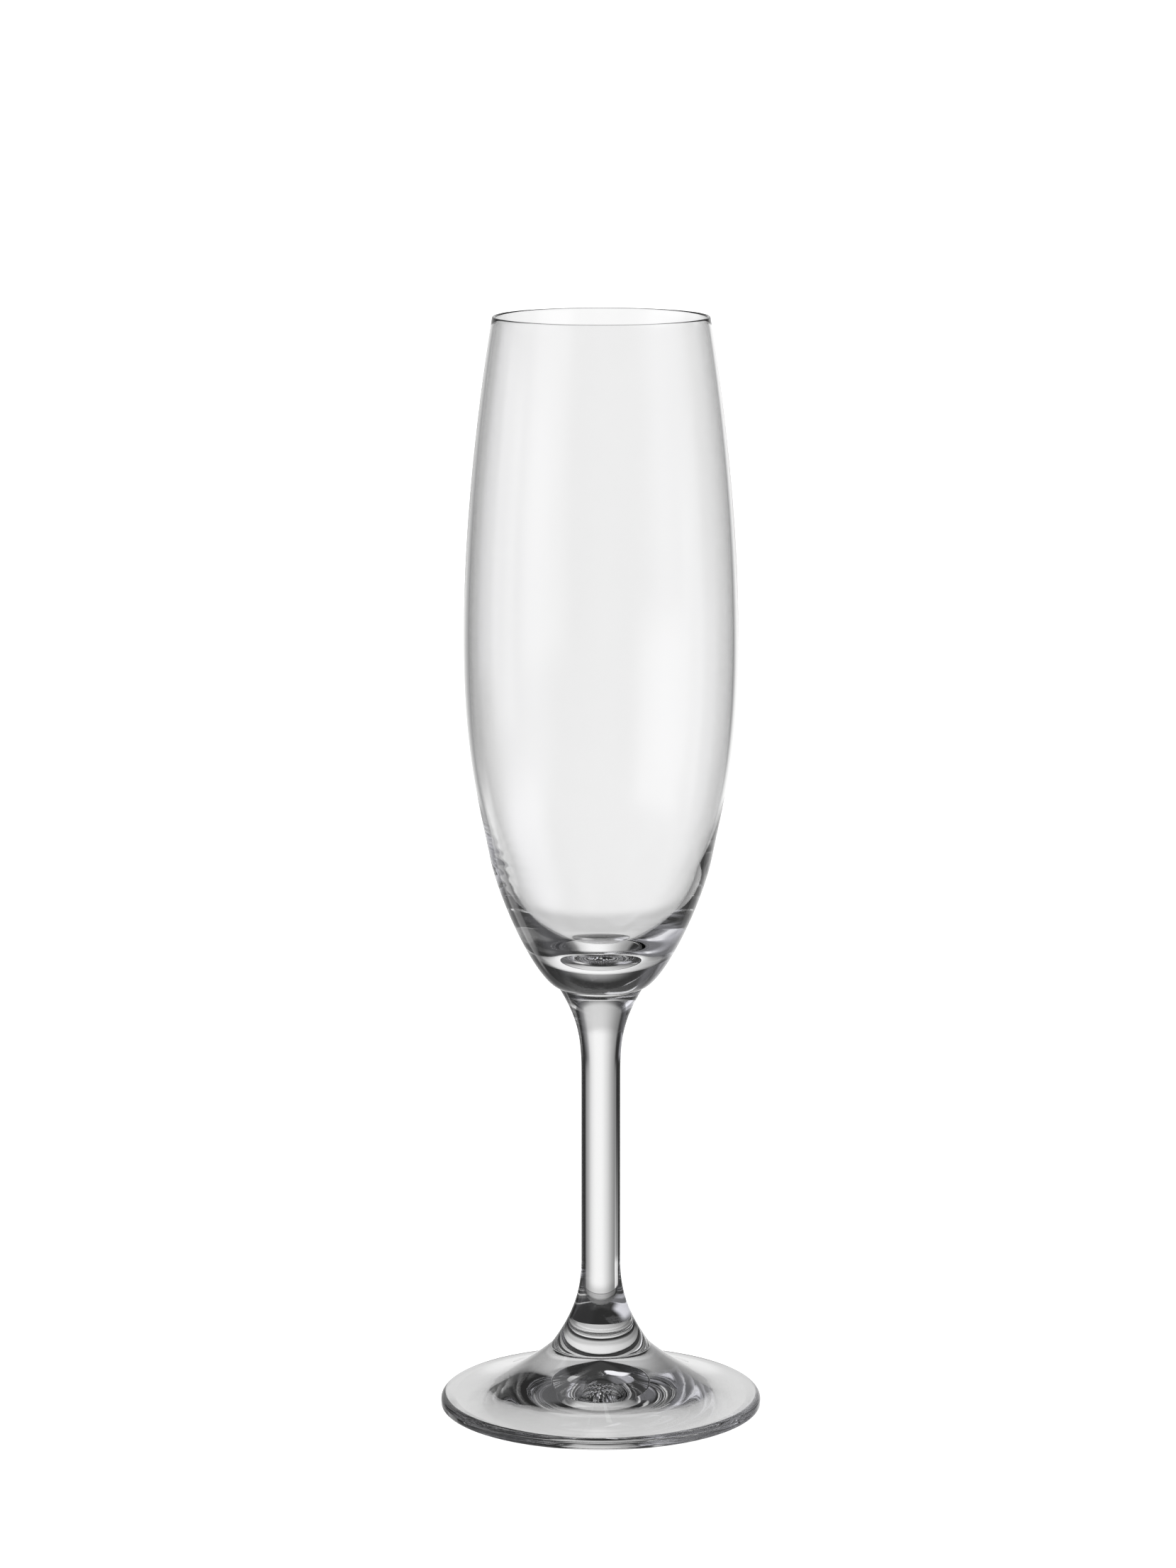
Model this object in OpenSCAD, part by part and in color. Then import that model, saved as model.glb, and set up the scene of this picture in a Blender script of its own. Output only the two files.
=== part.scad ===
// Champagne flute in clear glass, in millimetres.
// The origin is the centre of the circle that the foot stands on, and +Z is up the axis.
// Three glass pieces are fused end to end: bowl, stem and foot.

/* [Whole glass] */
// Height from the table to the top of the rim
total_h = 225; // [217:1:240]
// Height of the belly, where the bowl is widest
belly_h = 159; // [150:1:168]
// Height of the fused joint between bowl and stem
bowl_joint_h = 88.1; // [82:0.1:90]
// Height of the fused joint between stem and foot
foot_joint_h = 12.4; // [10:0.1:15]

/* [Bowl] */
// Outer radius at the rim
rim_r = 21.9; // [20:0.1:24]
// Outer radius at the belly
belly_r = 27.8; // [26:0.1:31]
// Outer radius where the lower bowl turns in towards the stem
hip_r = 22.6; // [20:0.1:24]
// Outer radius of the bowl at its joint with the stem
bowl_joint_r = 8.7; // [8:0.1:9.5]
// Thickness of the wall at the fire-polished rim
rim_wall = 0.75; // [0.6:0.05:1.2]
// Thickness of the wall at the belly
belly_wall = 1.15; // [0.9:0.05:1.6]
// Thickness of the wall at the hip
hip_wall = 1.6; // [1.2:0.05:2]
// Solid glass between the joint and the bottom of the inside
floor_t = 6.7; // [4:0.1:9]

/* [Stem] */
// Radius of the straight part of the stem
stem_r = 4.03; // [3.5:0.01:5]
// Height at which the stem starts to flare up into the bowl
flare_top_h = 68; // [60:1:74]
// Height at which the stem starts to flare down into the foot
flare_low_h = 31; // [26:1:36]

/* [Foot] */
// Outer radius of the foot
foot_r = 33.1; // [31.5:0.1:36]
// Radius of the foot at its joint with the stem
foot_joint_r = 10.3; // [9.8:0.1:11]
// Height of the upright edge of the foot
edge_h = 1.1; // [0.9:0.1:1.8]
// Height of the foot just inside its edge
brim_h = 2.4; // [2.2:0.1:3]
// Radius inside which the underside is hollowed
hollow_r = 30; // [26:0.5:31]
// Height of the hollow under the middle of the foot
hollow_h = 6.3; // [2:0.1:7.5]

/* [Hidden] */
$fn = 96;

GLASS = [0.9, 0.93, 0.94, 0.45];

// Number of straight steps that each curve is cut into
LONG_CURVE = 24;
SHORT_CURVE = 14;
LIP_STEPS = 10;

// Height of the hip, measured up from the joint
hip_h = bowl_joint_h + 26.9;

// Wall thickness is taken square to the axis, so both sides of the wall use the same heights
rim_in_r = rim_r - rim_wall;
belly_in_r = belly_r - belly_wall;
hip_in_r = hip_r - hip_wall;
floor_h = bowl_joint_h + floor_t;

// The rounded lip is half a circle, so the wall stops one lip radius below the rim
lip_r = rim_wall / 2;
wall_top_h = total_h - lip_r;

// Edge of the foot: a rounded upper corner and a small lower one
edge_round = brim_h - edge_h;
foot_corner = 0.35;

// A point at t, from 0 to 1, on the cubic Bezier curve with these four control points
function on_curve(p, t) =
    pow(1 - t, 3) * p[0] + 3 * pow(1 - t, 2) * t * p[1] + 3 * (1 - t) * t * t * p[2] + pow(t, 3) * p[3];

// Points along a curve without its last one, because the next stretch starts there
function curve(p, steps) = [for (i = [0 : steps - 1]) on_curve(p, i / steps)];

// Points along an arc with its last one
function arc(centre, r, from, to, steps) =
    [for (i = [0 : steps]) let (a = from + (to - from) * i / steps) centre + r * [cos(a), sin(a)]];

// Outside of the bowl, from the joint up to the lip
shoulder_curve = [[bowl_joint_r, bowl_joint_h], [bowl_joint_r + 4.8, bowl_joint_h + 1.5],
                  [hip_r - 1.6, hip_h - 8.1], [hip_r, hip_h]];
hip_curve = [[hip_r, hip_h], [hip_r + 2.45, hip_h + 12.4], [belly_r, belly_h - 21.5], [belly_r, belly_h]];
upper_curve = [[belly_r, belly_h], [belly_r, belly_h + 23.5], [rim_r + 2.9, wall_top_h - 17.7],
               [rim_r, wall_top_h]];

// Inside of the bowl, from the lip down to the middle of the floor
upper_inside = [[rim_in_r, wall_top_h], [rim_in_r + 2.9, wall_top_h - 17.7], [belly_in_r, belly_h + 23.5],
                [belly_in_r, belly_h]];
hip_inside = [[belly_in_r, belly_h], [belly_in_r, belly_h - 21.5], [hip_in_r + 3.2, hip_h + 10],
              [hip_in_r, hip_h]];
floor_inside = [[hip_in_r, hip_h], [hip_in_r - 4, hip_h - 12.5], [10.6, floor_h], [0, floor_h]];

// Outside of the stem, from the top joint down to the lower one
stem_top_curve = [[bowl_joint_r, bowl_joint_h], [stem_r, bowl_joint_h - 7.7], [stem_r, flare_top_h + 8],
                  [stem_r, flare_top_h]];
stem_low_curve = [[stem_r, flare_low_h], [stem_r, flare_low_h - 6.4], [stem_r + 1.2, foot_joint_h + 7.1],
                  [foot_joint_r, foot_joint_h]];

// Top of the foot, from the joint out to the brim, and its hollow underside
foot_top_curve = [[foot_joint_r, foot_joint_h], [foot_joint_r + 3.9, foot_joint_h - 3.35],
                  [foot_joint_r + 10.6, brim_h + 1.2], [foot_r - edge_round, brim_h]];
hollow_curve = [[hollow_r, 0], [hollow_r - 10.4, 1.2], [2, hollow_h], [0, hollow_h]];

// Turns an outline, drawn as radius and height, once round the axis
module turned(outline) {
    color(GLASS) rotate_extrude() polygon(outline);
}

// Blown bowl: thin wall, rounded lip and a thick solid bottom
module bowl() {
    turned(concat(
        [[0, bowl_joint_h]],
        curve(shoulder_curve, SHORT_CURVE),
        curve(hip_curve, LONG_CURVE),
        curve(upper_curve, LONG_CURVE),
        arc([rim_r - lip_r, wall_top_h], lip_r, 0, 180, LIP_STEPS),
        [for (i = [1 : LONG_CURVE - 1]) on_curve(upper_inside, i / LONG_CURVE)],
        curve(hip_inside, LONG_CURVE),
        curve(floor_inside, LONG_CURVE),
        [[0, floor_h]]));
}

// Solid stem: a straight rod that flares at both ends
module stem() {
    turned(concat(
        [[0, foot_joint_h], [0, bowl_joint_h]],
        curve(stem_top_curve, LONG_CURVE),
        [[stem_r, flare_top_h]],
        curve(stem_low_curve, LONG_CURVE),
        [[foot_joint_r, foot_joint_h]]));
}

// Pressed foot: a low cone with a rounded edge and a coned hollow underneath
module foot() {
    turned(concat(
        [[0, hollow_h], [0, foot_joint_h]],
        curve(foot_top_curve, LONG_CURVE),
        arc([foot_r - edge_round, edge_h], edge_round, 90, 0, LIP_STEPS),
        arc([foot_r - foot_corner, foot_corner], foot_corner, 0, -90, LIP_STEPS / 2),
        curve(hollow_curve, LONG_CURVE)));
}

bowl();
stem();
foot();
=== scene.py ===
# %% [markdown]
# # A champagne flute in clear glass
#
# The flute is three pieces of glass, fused end to end while hot: a blown bowl, a drawn stem and
# a pressed foot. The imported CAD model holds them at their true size, turned about the Z axis
# with the table at z = 0. This lesson gives each one the surface of real glass, and then builds
# the studio that the glass needs, because clear glass shows nothing but what stands round it.
# All lengths are in metres, and sizes that a maker would quote are written in millimetres.

# %% Load the frame
import math

import bpy
import numpy as np
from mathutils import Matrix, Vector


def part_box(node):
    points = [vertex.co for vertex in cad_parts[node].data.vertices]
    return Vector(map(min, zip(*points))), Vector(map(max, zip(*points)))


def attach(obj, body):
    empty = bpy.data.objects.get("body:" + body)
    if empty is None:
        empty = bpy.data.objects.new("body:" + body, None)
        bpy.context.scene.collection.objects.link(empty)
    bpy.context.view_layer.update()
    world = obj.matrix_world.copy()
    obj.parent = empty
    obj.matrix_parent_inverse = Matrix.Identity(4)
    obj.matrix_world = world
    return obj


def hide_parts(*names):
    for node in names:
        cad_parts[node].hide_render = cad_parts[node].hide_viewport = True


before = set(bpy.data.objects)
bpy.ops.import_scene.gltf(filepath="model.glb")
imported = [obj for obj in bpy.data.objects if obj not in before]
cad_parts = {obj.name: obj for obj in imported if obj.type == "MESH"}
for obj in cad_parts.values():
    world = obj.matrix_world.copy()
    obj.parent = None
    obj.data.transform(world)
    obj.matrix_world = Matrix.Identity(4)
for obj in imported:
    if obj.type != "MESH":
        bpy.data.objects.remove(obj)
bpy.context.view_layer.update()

mm = 0.001
print("CAD nodes:", sorted(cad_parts))

# %% [markdown]
# ## The sizes that the outlines hang on
#
# Glass shows its outline twice, once directly and once bent through itself, so the meshes below
# have to be far smoother than the CAD mesh. They could be made by subdividing that mesh, but
# subdivision pulls a surface off its true size. Here the outlines are drawn again as curves. The
# heights and the outer radii come from the boxes of the three CAD nodes, so the new pieces fill
# exactly the place of the old ones. What a box can't tell, such as how thick a wall is, is a
# named value in the cell where it is first used.

# %% Sizes from the frame
bowl_low, bowl_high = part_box("bowl")
stem_low, stem_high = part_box("stem")
foot_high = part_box("foot")[1]

rim_h = bowl_high[2]
belly_r = bowl_high[0]
bowl_joint_h = bowl_low[2]
foot_joint_h = stem_low[2]
foot_joint_r = stem_high[0]
foot_r = foot_high[0]
print("rim height %.1f mm, belly radius %.1f mm, foot radius %.1f mm"
      % (rim_h / mm, belly_r / mm, foot_r / mm))

# %% [markdown]
# ## Curves for an outline
#
# Blown and drawn glass has no straight lines, and it has a corner only where two pieces are
# fused. A cubic Bezier curve suits it: the curve runs through its two end points in the exact
# direction that its two handles give, so two stretches that share a direction join smoothly. An
# outline is a list of points, each a radius and a height. A stretch is written as its four
# corners, each a step in millimetres from one of its two end points.

# %% A stretch of curve and a stretch of arc
def from_point(r, h, *steps):
    """Corners of a curve, each a step in millimetres away from the point at r, h."""
    return [(r + dr * mm, h + dh * mm) for dr, dh in steps]


def curve(corners, steps):
    """Points along a Bezier curve without its last one, where the next stretch starts."""
    a, b, c, d = (np.array(corner, float) for corner in corners)
    shares = [i / steps for i in range(steps)]
    return [(1 - t) ** 3 * a + 3 * (1 - t) ** 2 * t * b + 3 * (1 - t) * t * t * c + t ** 3 * d
            for t in shares]


def arc(centre, r, start, end, steps):
    """Points along an arc with its last one. The angles are in degrees."""
    angles = [math.radians(start + (end - start) * i / steps) for i in range(steps + 1)]
    return [np.array(centre) + r * np.array([math.cos(a), math.sin(a)]) for a in angles]


# %% [markdown]
# ## Turning an outline into a piece
#
# A Screw modifier could turn the outline, but all its faces would wear one material, and the
# faces where two pieces are fused need a material of their own: in the real glass there is no
# surface there at all. So the rings of points are made here, one ring for each point of the
# outline, with a fan of triangles where the outline meets the axis.

# %% A turned piece
ROUND = 256
# A radius smaller than this is a point on the axis.
ON_AXIS = 1e-7


def turned(name, outline, joint_rows):
    """A closed mesh from an outline that starts and ends on the axis.

    The rows of faces numbered in joint_rows are flat fused faces and wear the second material.
    """
    verts, faces, rows, first = [], [], [], []
    for r, z in outline:
        first.append(len(verts))
        count = 1 if r < ON_AXIS else ROUND
        angles = [2 * math.pi * k / ROUND for k in range(count)]
        verts += [(r * math.cos(a), r * math.sin(a), z) for a in angles]
    for row in range(len(outline) - 1):
        low, high = first[row], first[row + 1]
        for k in range(ROUND):
            n = (k + 1) % ROUND
            if outline[row][0] < ON_AXIS:
                faces.append((low, high + n, high + k))
            elif outline[row + 1][0] < ON_AXIS:
                faces.append((low + k, low + n, high))
            else:
                faces.append((low + k, low + n, high + n, high + k))
            rows.append(row)
    mesh = bpy.data.meshes.new(name)
    mesh.from_pydata(verts, [], faces)
    mesh.polygons.foreach_set("use_smooth", [row not in joint_rows for row in rows])
    mesh.polygons.foreach_set("material_index", [int(row in joint_rows) for row in rows])
    mesh.update()
    piece = bpy.data.objects.new(name, mesh)
    bpy.context.scene.collection.objects.link(piece)
    print("%s: %d rings of %d points" % (name, len(outline), ROUND))
    return piece


# %% [markdown]
# ## The blown bowl
#
# The bowl is blown into a mould, cracked off and fire-polished, so its lip is a soft half round
# only 0.75 mm thick. The glass gathers at the bottom: the wall is about a millimetre thick below
# the belly and 1.6 mm at the hip, where the bowl turns in, and from there it grows to almost 7 mm
# of solid glass above the stem. That uneven thickness makes the bright ring and the flat lens
# that are seen in the bottom of such a glass, so the inside gets an outline of its own and isn't
# a copy of the outside moved inwards. The stretches of an outline meet at the belly and at the
# hip. The handles on both sides of such a point lie on one line, because glass shows the
# smallest kink.

# %% Outline of the bowl
bowl_joint_r = 8.7 * mm
hip_r = 22.6 * mm
hip_h = bowl_joint_h + 26.9 * mm
belly_h = 159 * mm
rim_r = 21.9 * mm
rim_wall = 0.75 * mm
belly_wall = 1.15 * mm
hip_wall = 1.6 * mm
floor_h = bowl_joint_h + 6.7 * mm
lip_r = rim_wall / 2
wall_top_h = rim_h - lip_r

shoulder = (from_point(bowl_joint_r, bowl_joint_h, (0, 0), (4.8, 1.5))
            + from_point(hip_r, hip_h, (-1.6, -8.1), (0, 0)))
hip = (from_point(hip_r, hip_h, (0, 0), (2.45, 12.4))
       + from_point(belly_r, belly_h, (0, -21.5), (0, 0)))
upper = (from_point(belly_r, belly_h, (0, 0), (0, 23.5))
         + from_point(rim_r, wall_top_h, (2.9, -17.7), (0, 0)))

rim_in_r = rim_r - rim_wall
belly_in_r = belly_r - belly_wall
hip_in_r = hip_r - hip_wall
upper_inside = (from_point(rim_in_r, wall_top_h, (0, 0), (2.9, -17.7))
                + from_point(belly_in_r, belly_h, (0, 23.5), (0, 0)))
hip_inside = (from_point(belly_in_r, belly_h, (0, 0), (0, -21.5))
              + from_point(hip_in_r, hip_h, (3.2, 10), (0, 0)))
floor_inside = (from_point(hip_in_r, hip_h, (0, 0), (-4, -12.5))
                + from_point(0, floor_h, (10.6, 0), (0, 0)))

bowl_outside = curve(shoulder, steps=44) + curve(hip, steps=30) + curve(upper, steps=36)
lip = arc((rim_r - lip_r, wall_top_h), lip_r, start=0, end=180, steps=12)
bowl_inside = (curve(upper_inside, steps=36)[1:] + curve(hip_inside, steps=100)
               + curve(floor_inside, steps=96))
bowl_outline = [(0, bowl_joint_h)] + bowl_outside + lip + bowl_inside + [(0, floor_h)]
blown_bowl = turned("blown_bowl", bowl_outline, joint_rows={0})

# %% [markdown]
# ## The drawn stem
#
# The stem is drawn out of the hot bottom of the bowl. It is a solid rod, 8 mm thick, that swells
# in a long curve at both ends. A rod of glass is a strong lens: it shows the whole half of the
# room behind it, squeezed into 8 mm, with the sides of the room along its edges.

# %% Outline of the stem
stem_r = 4.03 * mm
flare_top_h = 68 * mm
flare_low_h = 31 * mm

top_flare = (from_point(stem_r, flare_top_h, (0, 0), (0, 8))
             + from_point(stem_r, bowl_joint_h, (0, -7.7))
             + [(bowl_joint_r, bowl_joint_h)])
low_flare = ([(foot_joint_r, foot_joint_h)]
             + from_point(stem_r, foot_joint_h, (1.2, 7.1))
             + from_point(stem_r, flare_low_h, (0, -6.4), (0, 0)))
rod_steps = 40
rod_step = (flare_top_h - flare_low_h) / rod_steps
rod = [(stem_r, flare_low_h + rod_step * i) for i in range(rod_steps)]
stem_outline = ([(0, foot_joint_h)] + curve(low_flare, steps=90) + rod + curve(top_flare, steps=90)
                + [(bowl_joint_r, bowl_joint_h), (0, bowl_joint_h)])
drawn_stem = turned("drawn_stem", stem_outline, joint_rows={0, len(stem_outline) - 2})

# %% [markdown]
# ## The pressed foot
#
# A blob of hot glass is pressed and spun out into the foot. It is a low cone above and a hollow
# cone below, and it stands only on a narrow ring at its edge. From above, the hollow acts as a
# round mirror inside the glass: it shows the joint of the stem a second time, as a bubble in the
# middle of the foot. The depth of the hollow sets the size and place of that bubble.

# %% Outline of the foot
brim_h = 2.4 * mm
edge_h = 1.1 * mm
edge_round = brim_h - edge_h
foot_corner = 0.35 * mm
hollow_r = 30 * mm
hollow_h = 6.3 * mm

cone = (from_point(foot_joint_r, foot_joint_h, (0, 0), (3.9, -3.35))
        + from_point(foot_joint_r, brim_h, (10.6, 1.2))
        + [(foot_r - edge_round, brim_h)])
hollow = from_point(hollow_r, 0, (0, 0), (-10.4, 1.2)) + from_point(0, hollow_h, (2, 0), (0, 0))
foot_edge = (arc((foot_r - edge_round, edge_h), edge_round, start=90, end=0, steps=16)
             + arc((foot_r - foot_corner, foot_corner), foot_corner, start=0, end=-90, steps=8))
top_to_hollow = ([(0, foot_joint_h)] + curve(cone, steps=130) + foot_edge
                 + curve(hollow, steps=130) + [(0, hollow_h)])
foot_outline = top_to_hollow[::-1]
pressed_foot = turned("pressed_foot", foot_outline, joint_rows={len(foot_outline) - 2})

# %% [markdown]
# ## What the hot glass remembers
#
# Hand and machine leave small faults that tell the eye that this is glass. Where the hot wall
# first touches the colder mould it chills in fine level ripples, strongest on one side. The
# thick bottom of the bowl and the underside of the foot are never quite round. These faults bend
# the light through the whole piece, so they are moved into the mesh and not left to a bump map.
# They are only hundredths of a millimetre high, and only inside the bowl and under the foot, so
# the outer sizes stay as they are.

# %% Reading and bending a mesh
def points_of(piece):
    """The points of a mesh as an array, with each one's angle round the axis and its radius."""
    flat = np.empty(len(piece.data.vertices) * 3)
    piece.data.vertices.foreach_get("co", flat)
    points = flat.reshape(-1, 3)
    angle = np.arctan2(points[:, 1], points[:, 0])
    return points, angle, np.hypot(points[:, 0], points[:, 1])


def hump(value, centre, width):
    """1 at the centre, fading to both sides within about the width."""
    return np.exp(-((value - centre) / width) ** 2)


def lobes(angle, *waves):
    """A sum of waves round the axis, each given by its count, its start and its share."""
    return sum(share * np.sin(count * angle + start) for count, start, share in waves)


# %% Faults in the bowl
points, angle, radius = points_of(blown_bowl)
height = points[:, 2]
ring = np.arange(len(points)) // ROUND
inside = ring > len(bowl_outside) + len(lip)
turn_from_left = np.abs(np.abs(angle) - math.pi)

ripple_pitch = 2.3 * mm
ripple_depth = 0.018 * mm
ripple_h = 116 * mm
ripple_band = 5 * mm
ripple_turn = 0.6
ripples = (ripple_depth * hump(turn_from_left, 0, ripple_turn) * hump(height, ripple_h, ripple_band)
           * np.sin(2 * math.pi * height / ripple_pitch + angle))

uneven_depth = 0.03 * mm
uneven_h = 104 * mm
uneven_band = 9 * mm
uneven = (uneven_depth * hump(height, uneven_h, uneven_band) * (radius / hip_in_r)
          * lobes(angle, (2, 0.6, 1.0), (5, 2.0, 0.6), (9, 4.1, 0.3)))

round_middle = 0.5 * mm
swell = np.where(inside & (radius > round_middle), 1 + (ripples + uneven) / np.maximum(radius, mm), 1)
points[:, :2] *= swell[:, None]
blown_bowl.data.vertices.foreach_set("co", points.ravel())
blown_bowl.data.update()
print("bowl: ripples of %.3f mm, unevenness of %.2f mm" % (ripple_depth / mm, uneven_depth / mm))

# %% Faults in the foot
points, angle, radius = points_of(pressed_foot)
standing_ring = 0.98 * hollow_r
just_over = 0.01 * mm
underside = (radius < standing_ring) & (points[:, 2] < hollow_h + just_over)

fold_depth = 0.012 * mm
fold_r = 15 * mm
fold_band = 7 * mm
folds = (fold_depth * hump(radius, fold_r, fold_band)
         * lobes(angle, (3, 0.4, 1.0), (7, 1.9, 0.5), (23, 0.0, 0.25)))
points[:, 2] += np.where(underside, folds, 0)
pressed_foot.data.vertices.foreach_set("co", points.ravel())
pressed_foot.data.update()
print("foot: folds of %.3f mm in the underside" % (fold_depth / mm))

# %% [markdown]
# ## Colours and nodes
#
# Colours are written as the hex codes that a screen shows, and one function turns them into the
# linear values that Blender counts light in. One more function adds a node, with its settings
# and with its links from other nodes.

# %% Helpers for materials
def colour(hex_code):
    """A linear colour from a code such as #F4F7F6."""
    shares = [int(hex_code[i:i + 2], 16) / 255 for i in (1, 3, 5)]
    linear = [c / 12.92 if c <= 0.04045 else ((c + 0.055) / 1.055) ** 2.4 for c in shares]
    return (*linear, 1.0)


def add_node(tree, kind, settings=None, links=None):
    """A new node. A setting or a link is named by its socket's name or number."""
    node = tree.nodes.new(kind)
    for key, value in (settings or {}).items():
        if isinstance(key, str) and hasattr(node, key):
            setattr(node, key, value)
        else:
            node.inputs[key].default_value = value
    for key, source in (links or {}).items():
        tree.links.new(source, node.inputs[key])
    return node


def empty_material(name):
    """A new material with no nodes, and its node tree."""
    material = bpy.data.materials.new(name)
    material.use_nodes = True
    material.node_tree.nodes.clear()
    return material, material.node_tree


# %% [markdown]
# ## Clear crystal glass
#
# The flute is lead-free crystal: a clear soda-lime or barium glass with an index of refraction
# of about 1.52 and no colour of its own. Every surface is fire-polished, so the roughness is 0.
# The three pieces were shaped in three ways, and each way leaves its own grain. The blown wall
# has slow waves of about 14 mm. The drawn stem has fine lines along its length. The pressed foot
# has marks about 6 mm wide that are stretched sideways. To the eye these give reflections that
# waver a little. Faint cords, streaks of slightly denser glass from the melt, tint the glass by a
# percent or two. Each of these is a noise whose scale is worked out from its size in millimetres,
# stretched along the direction in which the glass was pulled. The foot's glass is a little greyer
# than the rest, and that grey is painted shade. It stands for the shaded table that the glass picks
# up just under it, because the table of a later step is there for the camera only, and the glass
# doesn't see it.

# %% One recipe, three grains
def clear_glass(name, grain_mm, stretch, wave_depth_mm, clear, cord):
    """Fire-polished glass, with waves wave_depth_mm deep in its surface.

    The grain is grain_mm wide, and longer by stretch along X, Y and Z. The glass is of the colour
    clear, and of the colour cord in its cords, which are twice as wide as the grain.
    """
    material, tree = empty_material(name)
    grain = grain_mm * mm
    place = add_node(tree, "ShaderNodeTexCoord")
    pulled = add_node(tree, "ShaderNodeMapping", {"Scale": tuple(1 / s for s in stretch)},
                      {"Vector": place.outputs["Object"]})
    waves = add_node(tree, "ShaderNodeTexNoise", {
        "Scale": 1 / grain, "Detail": 2.0, "Roughness": 0.4},
        {"Vector": pulled.outputs["Vector"]})
    cords = add_node(tree, "ShaderNodeTexNoise", {
        "Scale": 1 / (2 * grain), "Detail": 3.0, "Distortion": 0.6},
        {"Vector": pulled.outputs["Vector"]})
    tint = add_node(tree, "ShaderNodeMix", {
        "data_type": "RGBA", 6: colour(clear), 7: colour(cord)},
        {0: cords.outputs["Fac"]})
    relief = add_node(tree, "ShaderNodeBump", {"Strength": 1.0, "Distance": wave_depth_mm * mm},
                      {"Height": waves.outputs["Fac"]})
    body = add_node(tree, "ShaderNodeBsdfPrincipled", {
        "Roughness": 0.0, "IOR": 1.52, "Transmission Weight": 1.0},
        {"Base Color": tint.outputs[2], "Normal": relief.outputs["Normal"]})
    add_node(tree, "ShaderNodeOutputMaterial", links={"Surface": body.outputs[0]})
    print("%s: grain of %.1f mm" % (name, grain_mm))
    return material


mould_blown_crystal = clear_glass("mould_blown_crystal", grain_mm=14, stretch=(1, 1, 1.8),
                                  wave_depth_mm=0.008, clear="#FFFFFF", cord="#FBFBFB")
drawn_crystal = clear_glass("drawn_crystal", grain_mm=1.2, stretch=(1, 1, 25),
                            wave_depth_mm=0.0015, clear="#FCFCFC", cord="#F7F7F7")
# The light grey of the foot's glass is painted shade for the shaded table just under the foot.
pressed_crystal_painted_shade = clear_glass("pressed_crystal_painted_shade", grain_mm=6, stretch=(1.5, 1, 1),
                              wave_depth_mm=0.006, clear="#DFDFDF", cord="#D7D7D7")

# %% [markdown]
# ## The fused joints
#
# Two pieces of glass that were melted together have no surface between them. Each piece is its
# own closed mesh, though, so at a joint there are two faces at one height. A Transparent shader
# lets light through both without bending it, as if they weren't there.

# %% Fused joint
fused_joint, tree = empty_material("fused_joint")
nothing = add_node(tree, "ShaderNodeBsdfTransparent", {"Color": colour("#FFFFFF")})
add_node(tree, "ShaderNodeOutputMaterial", links={"Surface": nothing.outputs[0]})
print("fused joint: light passes straight through")

# %% Put the pieces in the place of the CAD nodes
for piece, node, glass in ((blown_bowl, "bowl", mould_blown_crystal),
                           (drawn_stem, "stem", drawn_crystal),
                           (pressed_foot, "foot", pressed_crystal_painted_shade)):
    piece.data.materials.append(glass)
    piece.data.materials.append(fused_joint)
    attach(piece, "root")
    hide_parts(node)
    print(piece.name, "stands for", node)

# %% [markdown]
# ## A plain white table
#
# The flute stands on a sheet of matt white acrylic that is lit from below, the usual table for
# pictures of glass. It is a wide plane that glows by itself, so it stays clean white up to the
# edge of the foot, and a faint speckle keeps it from being a flat colour. Only the camera sees
# it. What the glass sees is the light tent of the next step.

# %% Table
def stage_object(name, verts, faces, material):
    """A thing of the studio, which isn't part of the flute."""
    mesh = bpy.data.meshes.new(name)
    mesh.from_pydata(verts, [], faces)
    mesh.materials.append(material)
    piece = bpy.data.objects.new(name, mesh)
    bpy.context.scene.collection.objects.link(piece)
    return piece


speckle_size = 0.6 * mm
TABLE_GLOW = 0.95
lit_acrylic, tree = empty_material("lit_matt_acrylic")
place = add_node(tree, "ShaderNodeTexCoord")
speckle = add_node(tree, "ShaderNodeTexNoise", {"Scale": 1 / speckle_size, "Detail": 2.0},
                   {"Vector": place.outputs["Object"]})
pale = add_node(tree, "ShaderNodeMix", {
    "data_type": "RGBA", 6: colour("#CDCDCD"), 7: colour("#C8C8C8")},
    {0: speckle.outputs["Fac"]})
sheet = add_node(tree, "ShaderNodeBsdfPrincipled", {
    "Roughness": 0.9, "Specular IOR Level": 0.0,
    "Emission Color": colour("#FFFFFF"), "Emission Strength": TABLE_GLOW},
    {"Base Color": pale.outputs[2]})
add_node(tree, "ShaderNodeOutputMaterial", links={"Surface": sheet.outputs[0]})

table_half = 40.0
table_h = -0.1 * mm
corners = [(table_half * x, table_half * y, table_h) for x, y in ((-1, -1), (1, -1), (1, 1), (-1, 1))]
table = stage_object("lit_table", corners, [(0, 1, 2, 3)], lit_acrylic)
table.visible_transmission = False
table.visible_glossy = False
print("table: %.0f m square, %.1f mm under the foot" % (2 * table_half, -table_h / mm))

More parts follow.
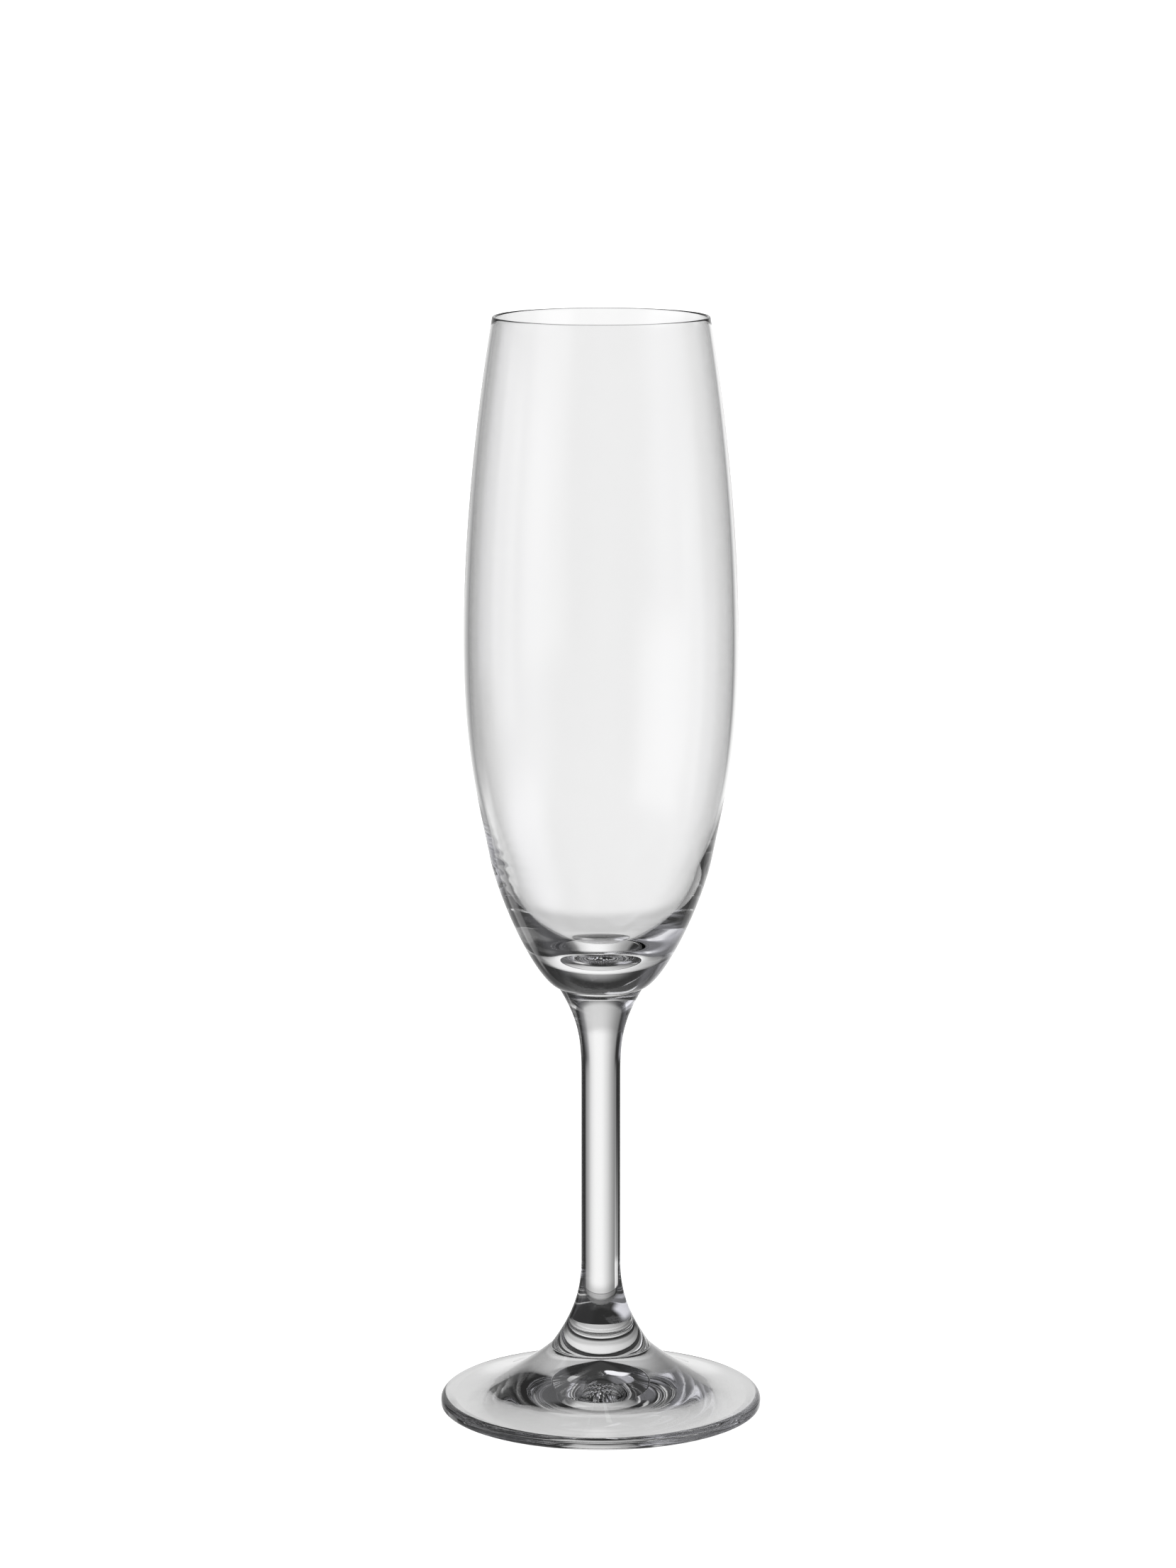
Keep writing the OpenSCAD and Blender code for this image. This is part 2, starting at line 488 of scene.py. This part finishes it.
# %% [markdown]
# ## The light tent
#
# Clear glass in an even white room is invisible. A photographer gives it edges by hanging black
# cloth all round and leaving only a few lit panels: the glass bends its light from the panels in
# the middle of each piece and from the black cloth along its edges. The tent could be many
# separate cards, but each would need soft edges of its own. One sphere is simpler. It is far
# away, so only the direction of a ray counts, and its material is black apart from the panels.
# Each panel is given by its azimuth, from +Y towards +X, and by its pitch above the table.
# Every panel has soft edges, since a hard edge would draw a line down the whole bowl.
#
# Behind the flute, as the camera sees it, hangs the backdrop, brightest in the middle, and a
# little brighter again behind the bowl. Its upper part is narrower than its lower part, and that
# makes the grey edges of the upper bowl wider. On the left stand a softbox low down, a lit wall
# and a strip, which light the left side of the bowl and stem. A key light high up gives the small
# bright spots in the foot and in the bottom of the bowl. The right has one weak card, so that
# side is darker. A faint ceiling, stronger on the left, and the dim room behind the camera fill
# in the rest. The last three panels are gaps in the cloth that light the glass for someone who
# walks round it.

# %% Panels of the tent
# name: azimuth, half width, soft edge, lowest pitch, highest pitch, soft edge, strength, colour
# All the angles are in degrees, and each soft edge lies outside the width or the pitch before it.
PANELS = {
    "backdrop_core": (5, 3, 35, -52, 24, 14, 0.50, "#FFFFFF"),
    "backdrop_low": (0, 39, 5, -52, -14, 5, 0.22, "#FFFFFF"),
    "backdrop_high": (-4, 26, 8, -9, 24, 5, 0.22, "#FFFFFF"),
    "bright_core": (5, 3, 35, -26, 0, 8, 0.23, "#FFFFFF"),
    "bright_wide": (-4, 26, 8, -26, 0, 8, 0.06, "#FFFFFF"),
    "left_softbox": (-97, 12, 25, -52, -28, 13, 0.93, "#F7F7FF"),
    "left_wall": (-108, 12, 28, -20, 4, 12, 0.52, "#F7F7FF"),
    "left_strip": (-68, 8, 14, -7, 6, 4, 0.40, "#F7F7FF"),
    "left_ceiling": (-97, 36, 30, 15, 45, 15, 0.18, "#F7F7FF"),
    "key_light": (-46, 16, 7, 50, 80, 6, 1.25, "#FBFBFF"),
    "right_card": (108, 16, 22, -22, 4, 14, 0.10, "#FFFFFF"),
    "ceiling": (0, 180, 1, 60, 90, 10, 0.03, "#FFFFFF"),
    "room_behind": (180, 30, 30, -60, 40, 10, 0.03, "#FFFFFF"),
    "left_rear_gap": (-45, 6, 5, -33, -18, 5, 0.80, "#FFFFFF"),
    "side_gap": (-88, 9, 8, -11, 5, 5, 0.36, "#FFFFFF"),
    "front_gap": (127, 13, 18, -24, -7, 6, 0.60, "#FFFFFF"),
}
# Black cloth still sends back a little of the light that falls on it.
CLOTH_GLOW = 0.03


def lit_panel(tree, azimuth, pitch, panel):
    """The light of one panel: its strength, times three soft edges that run from 0 to 1."""
    centre, half_width, soft, low, high, soft_pitch, strength, tint = panel
    aside = add_node(tree, "ShaderNodeMath", {"operation": "SUBTRACT", 1: math.radians(centre)},
                     {0: azimuth.outputs[0]})
    wrapped = add_node(tree, "ShaderNodeMath", {"operation": "WRAP", 1: math.pi, 2: -math.pi},
                       {0: aside.outputs[0]})
    offset = add_node(tree, "ShaderNodeMath", {"operation": "ABSOLUTE"}, {0: wrapped.outputs[0]})
    edges = ((offset, half_width, half_width + soft),
             (pitch, low, low - soft_pitch),
             (pitch, high, high + soft_pitch))
    windows = [add_node(tree, "ShaderNodeMapRange", {
        "interpolation_type": "SMOOTHSTEP",
        "From Min": math.radians(faded), "From Max": math.radians(full)},
        {"Value": value.outputs[0]}) for value, full, faded in edges]
    level = add_node(tree, "ShaderNodeMath", {"operation": "MULTIPLY", 1: strength},
                     {0: windows[0].outputs[0]})
    for window in windows[1:]:
        level = add_node(tree, "ShaderNodeMath", {"operation": "MULTIPLY"},
                         {0: level.outputs[0], 1: window.outputs[0]})
    return add_node(tree, "ShaderNodeEmission", {"Color": colour(tint)},
                    {"Strength": level.outputs[0]})


# %% Cloth and panels as one material
tent_cloth, tree = empty_material("black_tent_with_lit_panels")
place = add_node(tree, "ShaderNodeTexCoord")
outward = add_node(tree, "ShaderNodeVectorMath", {"operation": "NORMALIZE"},
                   {0: place.outputs["Object"]})
axes = add_node(tree, "ShaderNodeSeparateXYZ", links={"Vector": outward.outputs["Vector"]})
azimuth = add_node(tree, "ShaderNodeMath", {"operation": "ARCTAN2"},
                   {0: axes.outputs["X"], 1: axes.outputs["Y"]})
pitch = add_node(tree, "ShaderNodeMath", {"operation": "ARCSINE"}, {0: axes.outputs["Z"]})

glow = add_node(tree, "ShaderNodeEmission", {"Color": colour("#FFFFFF"), "Strength": CLOTH_GLOW})
for name, panel in PANELS.items():
    light = lit_panel(tree, azimuth, pitch, panel)
    light.name = name
    glow = add_node(tree, "ShaderNodeAddShader", links={0: glow.outputs[0], 1: light.outputs[0]})
add_node(tree, "ShaderNodeOutputMaterial", links={"Surface": glow.outputs[0]})
tent_cloth.cycles.emission_sampling = "NONE"
print("tent: %d lit panels" % len(PANELS))

# %% The tent itself
tent_r = 8.0
BANDS = 24
AROUND = 2 * BANDS
tent_verts, tent_faces = [], []
for band in range(BANDS + 1):
    tilt = math.pi * (band / BANDS - 0.5)
    ring_r = tent_r * math.cos(tilt)
    for k in range(AROUND):
        a = 2 * math.pi * k / AROUND
        tent_verts.append((ring_r * math.cos(a), ring_r * math.sin(a), tent_r * math.sin(tilt)))
for band in range(BANDS):
    for k in range(AROUND):
        n = (k + 1) % AROUND
        low, high = AROUND * band, AROUND * (band + 1)
        tent_faces.append((low + k, low + n, high + n, high + k))
light_tent = stage_object("light_tent", tent_verts, tent_faces, tent_cloth)
light_tent.visible_camera = False
light_tent.visible_diffuse = False
light_tent.visible_shadow = False
print("tent: %.0f m across, seen only in the glass" % (2 * tent_r))

# %% [markdown]
# ## Light for the table, and how many bends a ray may take
#
# An even white sky lights the table. A ray inside thick glass bounces many times before it gets
# out, and Blender's usual limit of 12 would end it early and leave false black patches, so the
# limits are raised. The Standard view keeps white as white.

# %% World and ray limits
SKY_STRENGTH = 1.1
scene = bpy.context.scene
world = bpy.data.worlds.new("even_white_sky")
world.use_nodes = True
world.node_tree.nodes.clear()
sky = add_node(world.node_tree, "ShaderNodeBackground", {
    "Color": colour("#FFFFFF"), "Strength": SKY_STRENGTH})
add_node(world.node_tree, "ShaderNodeOutputWorld", links={"Surface": sky.outputs[0]})
scene.world = world

scene.view_settings.view_transform = "Standard"
BENDS = 48
SEE_THROUGHS = 64
scene.cycles.max_bounces = BENDS
scene.cycles.transmission_bounces = BENDS
scene.cycles.glossy_bounces = BENDS
scene.cycles.transparent_max_bounces = SEE_THROUGHS
print("a ray may bend %d times and pass %d joints" % (BENDS, SEE_THROUGHS))

# %% [markdown]
# ## The camera
#
# The camera stands a metre in front of the glass, about 30 cm above the table, and looks down by
# ten degrees with a long lens, so the rim and the foot are narrow ellipses and the sides hardly
# converge. It is turned a touch to the left, which puts the flute a touch to the right.

# %% Camera
lens = bpy.data.cameras.new("studio_camera")
lens.lens = 114.05
lens.sensor_width = 36
camera_back = 992.8 * mm
camera_h = 305.2 * mm
look_down = 10
look_left = 0.153
camera = bpy.data.objects.new("studio_camera", lens)
camera.location = (0, -camera_back, camera_h)
camera.rotation_euler = (math.radians(90 - look_down), 0, math.radians(look_left))
scene.collection.objects.link(camera)
scene.camera = camera
print("camera: %.0f mm lens, %.0f mm back, looking %d degrees down"
      % (lens.lens, camera_back / mm, look_down))
